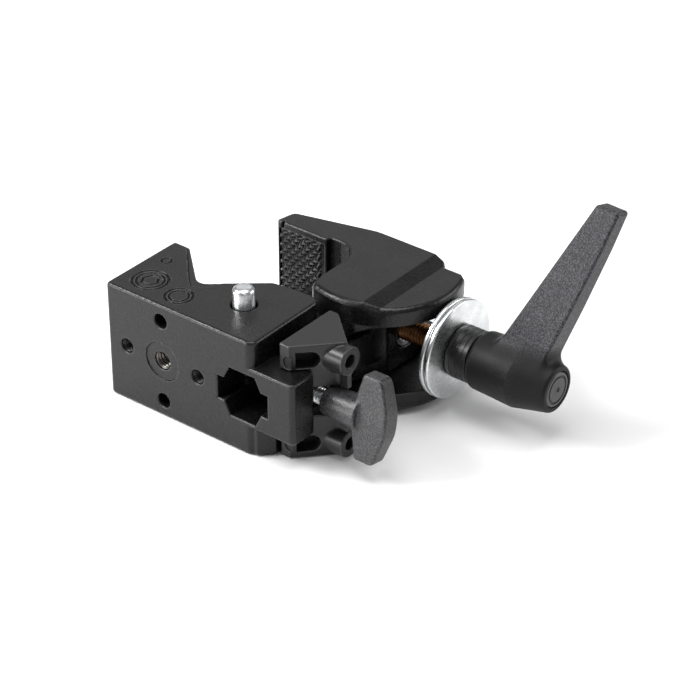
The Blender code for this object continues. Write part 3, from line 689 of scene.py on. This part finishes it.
def mould_line(name, path):
    """Fine raised line that a mould's joint leaves, along points on the surface."""
    half, up, down = 0.2, Vector((0, 0, 0.035)), Vector((0, 0, 0.1))
    points, faces = [], []
    for i, place in enumerate(path):
        ahead = Vector(path[min(i + 1, len(path) - 1)]) - Vector(path[max(i - 1, 0)])
        side = ahead.cross(Vector((0, 0, 1))).normalized() * half
        here = Vector(place)
        points += [here - side - down, here + up, here + side - down]
    for i in range(0, 3 * (len(path) - 1), 3):
        faces += [[i, i + 1, i + 4, i + 3], [i + 1, i + 2, i + 5, i + 4], [i + 2, i, i + 3, i + 5]]
    last = 3 * (len(path) - 1)
    faces += [[0, 2, 1], [last, last + 1, last + 2]]
    made = add_mesh(name, points, [face[::-1] for face in faces])
    made.data.set_sharp_from_angle(angle=math.radians(80))
    return made


def jaw_mould_lines():
    top, shelf = HEIGHT, HEIGHT - SHELF_DROP
    lines = {"mould_line_top": [(42.2, 66.6, top), (46.5, 65.8, top), (56, 66.1, top), (RAMP_X, 66.5, top)],
             "mould_line_ramp": [(RAMP_X, 66.5, top), (SHELF_X, 66.5, shelf)],
             "mould_line_shelf": [(SHELF_X, 66.5, shelf), (84, 65.3, shelf), (87.2, 64.3, shelf)]}
    return [mould_line(name, path) for name, path in lines.items()]


def pad_mesh():
    """Rubber pad: a sheet of diamond pyramids on a plain back."""
    (left, right), (low, high) = span("jaw_pad", "x"), span("jaw_pad", "z")
    front, back = span("jaw_pad", "y")
    half_x, half_z, rise, margin, lip = 1.55, 1.65, 1.6, 0.5, 1.4
    across = np.linspace(left, right, 2 * int((right - left) / 0.22) + 1)
    up = np.linspace(low, high, 2 * int((high - low) / 0.24) + 1)
    x, z = np.meshgrid(across, up, indexing="ij")
    u, v = (x - left - margin) / half_x, (z - low - margin) / half_z
    tall = np.zeros_like(x)
    for shift in (0, 1):
        du = np.abs((u + shift) % 2 - 1)
        dv = np.abs((v + shift) % 2 - 1)
        tall = np.maximum(tall, 1 - du - dv)
    edge = np.minimum(np.minimum(x - left, right - lip - x), np.minimum(z - low, high - z))
    tall = np.clip(tall, 0, 0.92) * np.clip(edge / margin - 0.2, 0, 1)
    top = np.stack([x, front + rise - rise * tall, z], axis=-1)
    columns, rows = x.shape
    number = np.arange(columns * rows).reshape(columns, rows)
    corners = [number[:-1, :-1], number[1:, :-1], number[1:, 1:], number[:-1, 1:]]
    quads = np.stack(corners, axis=-1).reshape(-1, 4)
    rim = np.concatenate([number[:-1, 0], number[-1, :-1], number[:0:-1, -1], number[0, :0:-1]])
    points = top.reshape(-1, 3)
    back_rim = points[rim] * [1, 0, 1] + [0, back, 0]
    base = columns * rows + np.arange(len(rim))
    sides = np.stack([rim, base, np.roll(base, -1), np.roll(rim, -1)], axis=1)
    faces = quads.tolist() + sides.tolist() + [base.tolist()]
    made = add_mesh("pyramid_pad", np.concatenate([points, back_rim]), faces)
    made.data.set_sharp_from_angle(angle=math.radians(25))
    return made


# ---------------------------------------------------------------- screw, washers and lever

LEVER_TILT = math.radians(17)
SCREW_PITCH = 1.25
HUB_X, HUB_END = span("lever_handle", "x")[0], span("lever_end_cap", "x")[1]
SPLINE_RADIUS, SPLINES = 7.0, 24


def washer(name, node):
    low, high = span(node, "x")
    rim, hole, edge = (span(node, "z")[1] - span(node, "z")[0]) / 2, 4.6, 0.35
    profile = [(low, hole), (low, rim - 1.4), (low + 0.12, rim - 0.7), (low + edge + 0.1, rim - 0.05),
               (low + 0.9, rim), (high - edge, rim), (high - 0.1, rim - 0.2), (high, rim - 0.45),
               (high, hole + 0.3), (high - 0.3, hole)]
    return turned(name, "x", SCREW_AT, profile, closed=True, sides=160, sharp=40)


def splined_sleeve():
    """Grooved flange, then the splines that the lever's hub slides on."""
    low, high = span("lever_sleeve", "x")
    flange, bore, screw_bore = 9.0, 4.3, 2.8
    shoulder = HUB_X - GAP
    grooves = [low + 2.3, low + 4.4, low + 6.5]
    profile = [(low, bore), (low, flange - 0.8), (low + 0.25, flange - 0.35), (low + 0.8, flange)]
    for groove in grooves:
        profile += [(groove - 0.4, flange), (groove - 0.25, flange - 0.22), (groove + 0.25, flange - 0.22),
                    (groove + 0.4, flange)]
    profile += [(shoulder - 0.3, flange), (shoulder, flange - 0.3), (shoulder, SPLINE_RADIUS)]
    first_spline = len(profile)
    profile += [(high - 0.6, SPLINE_RADIUS), (high, SPLINE_RADIUS - 0.6), (high, screw_bore),
                (span("screw_stud", "x")[1] + GAP, screw_bore), (span("screw_stud", "x")[1] + GAP, bore)]

    def reach(i, place, angles):
        if i not in (first_spline - 1, first_spline, first_spline + 1):
            return profile[i][1]
        return profile[i][1] - 0.7 * (np.cos(angles * SPLINES) > 0)
    places = [place for place, _ in profile]
    return ring_mesh("splined_sleeve", "x", SCREW_AT, places, reach, sides=192, closed=True, sharp=35)


def tilted(tilt, centre):
    """A point's reach from the axis along X at (y, z) centre, towards the tilt, and its place across that."""
    def turn(y, z):
        reach = (y - centre[0]) * math.sin(tilt) + (z - centre[1]) * math.cos(tilt)
        across = (y - centre[0]) * math.cos(tilt) - (z - centre[1]) * math.sin(tilt)
        return reach, across
    return turn


def ratchet_lever():
    turn = tilted(LEVER_TILT, SCREW_AT)
    arm_plan = polygon(rounded([(109.2, 3, 0), (110.6, 10.5, 4), (132.9, 62.15, 1.2), (141.35, 61.8, 1.0),
                                (138.4, 48.6, 20), (132.9, 27.4, 30), (128.2, 10.9, 8), (127.0, 3, 0)]))

    def hub(x, y, z):
        wide = np.interp(x, [HUB_X, HUB_X + 1.6, 119, HUB_END], [9.3, 9.9, 10.6, 7.8])
        around = np.hypot(y - SCREW_AT[0], z - SCREW_AT[1]) - wide
        return meet(around, np.abs(x - (HUB_X + HUB_END) / 2) - (HUB_END - HUB_X) / 2, 0.9)

    def arm(x, y, z):
        reach, across = turn(y, z)
        half = np.interp(reach, [6, 61.6], [4.8, 3.2])
        return meet(arm_plan(x, reach), np.abs(across) - half, 0.8)
    chamber, bulkhead = 6.2, (118.0, 120.0)
    bores = [slab(circle(SCREW_AT, SPLINE_RADIUS + GAP), HUB_X - CLEAR, bulkhead[0], "x"),
             slab(circle(SCREW_AT, 3.2), HUB_X, HUB_END, "x"),
             slab(circle(SCREW_AT, chamber), bulkhead[1], HUB_END + CLEAR, "x")]
    solid = without(joined(hub, arm, fillet=3.5), *bores, fillet=0.4)
    return field_mesh("ratchet_lever", solid, *node_box("lever_handle"))


def lever_cap():
    """Hub's end disc with a plain ring sunk in it."""
    low, high = span("lever_end_cap", "x")
    edge, sunk = 5.9, high - 0.35
    profile = [(low, TIP), (low, edge), (high - 0.3, edge), (high, edge - 0.3), (high, 4.9), (sunk, 4.7),
               (sunk, 4.3), (high, 4.1), (high, 1.2), (high - 0.3, 0.9), (high - 0.3, TIP)]
    return turned("lever_cap", "x", SCREW_AT, profile, sides=96, sharp=30)


def socket_screw():
    low, high = span("lever_retaining_screw", "x")
    neck, shank, head, socket = 127.0, 2.5, 5.0, high - 1.6
    profile = [(low, TIP), (low, shank - 0.5), (low + 0.5, shank), (neck, shank), (neck, head - 0.4),
               (neck + 0.4, head), (high - 0.5, head), (high, head - 0.5), (high, 2.2), (socket, 2.0),
               (socket, TIP)]
    return turned("lever_screw", "x", SCREW_AT, profile, sides=64)


# ---------------------------------------------------------------- T-knob

KNOB_TURN = math.radians(10)
KNOB_PITCH = 1.0


def knob_wing():
    turn = tilted(KNOB_TURN, KNOB_AT)
    start, end = span("t_knob_wing", "x")
    shank_end, tall, thick = 90.8, 14.8, 3.4
    left, right = 92.8, 100.0
    plan = polygon(rounded([(left, -tall, 1.4), (right, -tall, 2.5), (end, -4, 12), (end, 4, 12),
                            (right, tall, 2.5), (left, tall, 1.4), (shank_end, 6, 8), (shank_end, -6, 8)]))

    def shank(x, y, z):
        wide = np.interp(x, [start, shank_end + 3], [4.9, 5.75])
        around = np.hypot(y - KNOB_AT[0], z - KNOB_AT[1]) - wide
        return meet(around, np.abs(x - (start + left) / 2) - (left - start) / 2, 0.7)

    def wing(x, y, z):
        reach, across = turn(y, z)
        half = np.interp(np.abs(reach), [0, tall], [thick, thick - 0.5])
        return meet(plan(x, reach), np.abs(across) - half, 0.9)
    bore = slab(circle(KNOB_AT, 3.2), start - CLEAR, 86.3, "x")
    solid = without(joined(shank, wing, fillet=1.2), bore, fillet=0.4)
    return field_mesh("knob_wing", solid, *node_box("t_knob_wing"), FINE_CELL)


def pressure_tip():
    low, high = span("knob_pressure_tip", "x")
    profile = [(low, TIP), (low, 1.9), (low + 0.5, 2.5), (high, 2.5), (high, TIP)]
    return turned("pressure_tip", "x", KNOB_AT, profile, sides=48)


# ---------------------------------------------------------------- wedge

WEDGE_LOW, WEDGE_LEFT, WEDGE_BACK = 0.3, 67.1, 31.4
SLOPE_START = (70.9, 6.2)
TUBE_RISE, TUBE_Y, TUBE_END = 15.3, 18.5, 85.6


def wedge():
    plan = polygon(rounded([(WEDGE_LEFT, 6.3, 0.5), (*SLOPE_START, 0.5), (83.6, 19.7, 1.2),
                            (70.6, WEDGE_BACK, 1.5), (WEDGE_LEFT, WEDGE_BACK, 0.8)]))
    body = slab(plan, WEDGE_LOW, HEIGHT, edge=0.45)
    centres = [(TUBE_Y, MID_Z + sign * TUBE_RISE) for sign in (-1, 1)]
    rib_plan = box((79, TUBE_Y - 1), (TUBE_END - 0.3, TUBE_Y + 1))
    rib = slab(rib_plan, MID_Z - TUBE_RISE, MID_Z + TUBE_RISE, edge=0.3)
    tubes = [slab(circle(centre, 4.8), 74, TUBE_END, "x", 0.45) for centre in centres]
    holes = [slab(circle(centre, 2.3), 76, TUBE_END + CLEAR, "x") for centre in centres]
    left = 60
    block = box((left, 2), (BLOCK_RIGHT + GAP, BLOCK_DEPTH + GAP))
    boss = box((left, 3), (BOSS_END + GAP, KNOB_AT[0] + BOSS_RADIUS + GAP))
    clearances = [slab(block, BLOCK_LOW - GAP, BLOCK_HIGH + GAP), slab(boss, MID_Z - 8.9, MID_Z + 8.9),
                  slab(box((left, 3), (80, KNOB_AT[0] + 3.4)), MID_Z - 3.4, MID_Z + 3.4),
                  slab(box((75.3, 2), (95, 25)), MID_Z - 5.3, MID_Z + 5.3)]
    solid = without(joined(body, rib, *tubes, fillet=0.8), *clearances, *holes, fillet=0.6)
    solid = without(solid, *finger_recesses(), *facet_marks(), fillet=0.3)
    low = (WEDGE_LEFT, SLOPE_START[1], WEDGE_LOW)
    return field_mesh("flat_wedge", solid, low, (TUBE_END, WEDGE_BACK, HEIGHT), FINE_CELL)


def finger_recesses():
    """Two D-shaped pockets, flat side left, in the wedge's sloping face."""
    start, run = np.array(SLOPE_START), (12.7, 13.5)
    along = np.array(run) / math.hypot(*run)
    first, last, sunk = 2.2, 9.9, 5.5
    pockets = []
    for low, high in ((33.6, 39.4), (2.6, 8.4)):
        radius, centre = (high - low) / 2, (low + high) / 2
        straight = polygon([(first, low), (last - radius, low), (last - radius, high), (first, high)])
        end = circle((last - radius, centre), radius)

        def pocket(x, y, z, straight=straight, end=end):
            u = (x - start[0]) * along[0] + (y - start[1]) * along[1]
            depth = (x - start[0]) * along[1] - (y - start[1]) * along[0]
            plan = np.minimum(straight(u, z), end(u, z))
            return np.maximum(plan, np.abs(depth) - sunk)
        pockets.append(pocket)
    return pockets


def facet_marks():
    """Shallow half-round marks on the narrow facet left of the sloping face."""
    rises = (TUBE_RISE - 0.6, -TUBE_RISE - 0.4)
    return [slab(circle((SLOPE_START[0], MID_Z + rise), 2.3), 3, 6.75, "y") for rise in rises]


# ---------------------------------------------------------------- small pieces

def press_pin():
    low, high = span("lock_pin", "z")
    radius, neck, taper, neck_low, neck_high = 3.7, 2.8, 0.6, 22.6, 31.0
    dome = [(high - 1.5, radius), (high - 0.9, radius - 0.35), (high - 0.35, radius - 1.0),
            (high - 0.15, radius - 1.6), (high - 0.05, radius - 2.6), (high, TIP)]
    profile = [(low, TIP), (low, radius - 0.5), (low + 0.5, radius), (neck_low - taper, radius),
               (neck_low, neck), (neck_high, neck), (neck_high + taper, radius)]
    return turned("press_pin", "z", PIN_AT, profile + dome, sides=96, sharp=40)


def pin_plug():
    low, high = span("lock_pin_plug", "z")
    edge = (span("lock_pin_plug", "x")[1] - span("lock_pin_plug", "x")[0]) / 2
    profile = [(low, TIP), (low, edge - 1.6), (low, edge - 0.4), (low + 0.4, edge), (high - 0.3, edge),
               (high, edge - 0.3), (high, TIP)]
    return turned("pin_plug", "z", PIN_AT, profile, sides=64)


def pivot():
    low, high = span("pivot_pin", "z")
    edge, groove = 4.0, 3.6
    profile = [(low, TIP), (low, edge - 0.6), (low + 0.4, edge), (1.55, edge), (1.6, groove), (1.75, groove),
               (1.8, edge), (high - 0.6, edge), (high, edge - 0.6), (high, TIP)]
    return turned("pivot", "z", PIVOT_AT, profile, sides=64)


def circlip():
    """Retaining ring with two holed ears at its opening."""
    low, high = span("pivot_pin_ring", "z")
    inner, outer, opening = 4.3, 6.0, math.radians(32)

    def ring(x, y, z):
        u, v = x - PIVOT_AT[0], y - PIVOT_AT[1]
        reach, turn = np.hypot(u, v), np.arctan2(v, u)
        band = np.maximum(reach - outer + 0.3 * np.cos(turn), inner - reach)
        return np.maximum(band, (opening - np.abs(turn)) * 5)

    def flat_ring(x, y, z):
        return meet(ring(x, y, z), np.abs(z - (low + high) / 2) - (high - low) / 2, 0.1)
    ear_reach, ear_turn = 4.9, opening * 1.15
    ear_places = [(PIVOT_AT[0] + ear_reach * math.cos(turn), PIVOT_AT[1] + ear_reach * math.sin(turn))
                  for turn in (ear_turn, -ear_turn)]
    ears = [slab(circle(place, 1.05), low, high) for place in ear_places]
    holes = [slab(circle(place, 0.45), low - 1, high + 1) for place in ear_places]
    corner = (PIVOT_AT[0] - outer, PIVOT_AT[1] - outer, low)
    opposite = (PIVOT_AT[0] + outer, PIVOT_AT[1] + outer, high)
    return field_mesh("circlip", without(joined(flat_ring, *ears), *holes), corner, opposite, 0.2)


def thread_of(name, node, axis, centre, outer, inner, pitch, depth):
    """A threaded sleeve as long as a CAD node."""
    low, high = span(node, axis)
    return threaded_tube(name, axis, centre, low, high, outer, inner, pitch, depth)


# ---------------------------------------------------------------- the whole clamp

def build_clamp():
    place(fixed_jaw(), "body_casting", BLACK_CAST)
    place(moving_jaw(), "jaw_casting", BLACK_CAST)
    for line in jaw_mould_lines():
        trim(line, "jaw_casting", CAST_LINE)
    place(pad_mesh(), "jaw_pad", RUBBER)
    place(washer("inner_washer", "washer_inner"), "washer_inner", ZINC_WASHER)
    place(washer("outer_washer", "washer_outer"), "washer_outer", ZINC_WASHER)
    place(splined_sleeve(), "lever_sleeve", SLEEVE_PLASTIC)
    place(ratchet_lever(), "lever_handle", LEVER_PLASTIC)
    place(lever_cap(), "lever_end_cap", WEDGE_PLASTIC)
    place(socket_screw(), "lever_retaining_screw", STEEL_SCREW)
    hub_spring = spring("hub_spring", "x", SCREW_AT, *span("lever_spring", "x"), 4.4, 0.45, 3)
    place(hub_spring, "lever_spring", STEEL_SCREW)
    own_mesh(hub_spring)
    screw = threaded_rod("screw_thread", "x", SCREW_AT, *span("screw_stud", "x"), 4.0, SCREW_PITCH, 0.7)
    place(screw, "screw_stud", BRONZE)
    place(knob_wing(), "t_knob_wing", KNOB_PLASTIC)
    stud = threaded_rod("knob_thread", "x", KNOB_AT, *span("t_knob_stud", "x"), 2.9, KNOB_PITCH, 0.5, 0.4)
    place(stud, "t_knob_stud", ZINC_STUD)
    place(pressure_tip(), "knob_pressure_tip", BRASS)
    place(wedge(), "wedge_insert", WEDGE_PLASTIC)
    place(press_pin(), "lock_pin", ZINC_PIN)
    place(pin_plug(), "lock_pin_plug", STEEL_PIVOT)
    pin_spring = spring("pin_spring", "z", PIN_AT, *span("lock_pin_spring", "z"), 2.8, 0.4, 3)
    place(pin_spring, "lock_pin_spring", STEEL_PIVOT)
    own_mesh(pin_spring)
    place(pivot(), "pivot_pin", STEEL_PIVOT)
    place(circlip(), "pivot_pin_ring", STEEL_PIVOT)
    insert = thread_of("camera_thread", "camera_thread_insert", "y", THREAD_AT, outer=3.2, inner=2.55,
                       pitch=1.27, depth=0.55)
    place(insert, "camera_thread_insert", STEEL_INSERT)
    bush = thread_of("nut_bush", "clamp_nut", "x", SCREW_AT, outer=6.0, inner=4.3, pitch=SCREW_PITCH,
                     depth=0.6)
    place(bush, "clamp_nut", STEEL_SCREW)
    for side, name in ((-1, "left_thread"), (1, "right_thread")):
        centre = (THREAD_AT[0] + side * CROSS, THREAD_AT[1])
        thread = threaded_tube(name, "y", centre, 0.8, HOLE_DEPTH - 0.1, HOLE_RADIUS + 0.1, 2.05, 0.8, 0.4)
        trim(thread, "body_casting", BLACK_CAST)


# ---------------------------------------------------------------- stage

def floor():
    """Plain pale floor under the clamp."""
    half = 3.0
    mesh = bpy.data.meshes.new("floor")
    corners = [(-half, -half, 0), (half, -half, 0), (half, half, 0), (-half, half, 0)]
    mesh.from_pydata(corners, [], [(0, 1, 2, 3)])
    made, tree, shader = new_material("pale floor")
    place_at = add_node(tree, "ShaderNodeTexCoord").outputs["Object"]
    clouds = noise(tree, place_at, 120.0, 2.0)
    tree.links.new(mixed(tree, clouds, (0.93, 0.93, 0.93), (0.96, 0.96, 0.96)), shader.inputs["Base Color"])
    shader.inputs["Roughness"].default_value = 0.6
    shader.inputs["Specular IOR Level"].default_value = 0.2
    mesh.materials.append(made)
    plane = bpy.data.objects.new("floor", mesh)
    bpy.context.scene.collection.objects.link(plane)


def softbox(name, azimuth, elevation, distance, size, power, colour=(1, 1, 1)):
    """Area light at an angle round the clamp, aimed at its middle: degrees, metres and watts."""
    turn, rise = math.radians(azimuth), math.radians(elevation)
    way = Vector((math.sin(turn) * math.cos(rise), -math.cos(turn) * math.cos(rise), math.sin(rise)))
    light = bpy.data.lights.new(name, "AREA")
    light.shape = "RECTANGLE"
    light.size, light.size_y = size
    light.energy = power
    light.color = colour
    made = bpy.data.objects.new(name, light)
    made.location = Vector(ORIGIN) + Vector((BLOCK_RIGHT, PIVOT_AT[1], MID_Z)) * MM + way * distance
    made.rotation_mode = "QUATERNION"
    made.rotation_quaternion = (-way).to_track_quat("-Z", "Y")
    bpy.context.scene.collection.objects.link(made)
    return made


def light_the_stage():
    world = bpy.data.worlds.new("studio")
    world.use_nodes = True
    background = world.node_tree.nodes["Background"]
    background.inputs["Color"].default_value = (1, 1, 1, 1)
    background.inputs["Strength"].default_value = 0.25
    bpy.context.scene.world = world
    bpy.context.scene.view_settings.view_transform = "Standard"
    softbox("key softbox", -38, 9, 0.9, (0.7, 0.28), 5.4)
    softbox("left softbox", -50, 42, 0.5, (0.22, 0.12), 1.9)
    softbox("front right softbox", 52, 38, 1.0, (0.16, 0.16), 0.28)
    softbox("right back softbox", 140, 22, 1.0, (0.6, 0.4), 3.4)
    softbox("left back softbox", -142, 32, 1.2, (1.0, 0.6), 1.2)
    softbox("overhead softbox", 0, 89, 1.2, (0.8, 0.8), 10.0)


CAMERA = {"azimuth": 38.3346, "elevation": 32.3105, "distance": 845.07, "target": (66.23, 42.70, 21.0),
          "lens": 135.0}


def aim_camera():
    turn, rise = math.radians(CAMERA["azimuth"]), math.radians(CAMERA["elevation"])
    back = Vector((math.sin(turn) * math.cos(rise), -math.cos(turn) * math.cos(rise), math.sin(rise)))
    data = bpy.data.cameras.new("camera")
    data.lens = CAMERA["lens"]
    data.sensor_width = 36.0
    data.clip_start, data.clip_end = 0.05, 20
    made = bpy.data.objects.new("camera", data)
    made.location = Vector(ORIGIN) + (Vector(CAMERA["target"]) + back * CAMERA["distance"]) * MM
    made.rotation_mode = "QUATERNION"
    made.rotation_quaternion = (-back).to_track_quat("-Z", "Y")
    bpy.context.scene.collection.objects.link(made)
    bpy.context.scene.camera = made


build_clamp()
floor()
light_the_stage()
aim_camera()
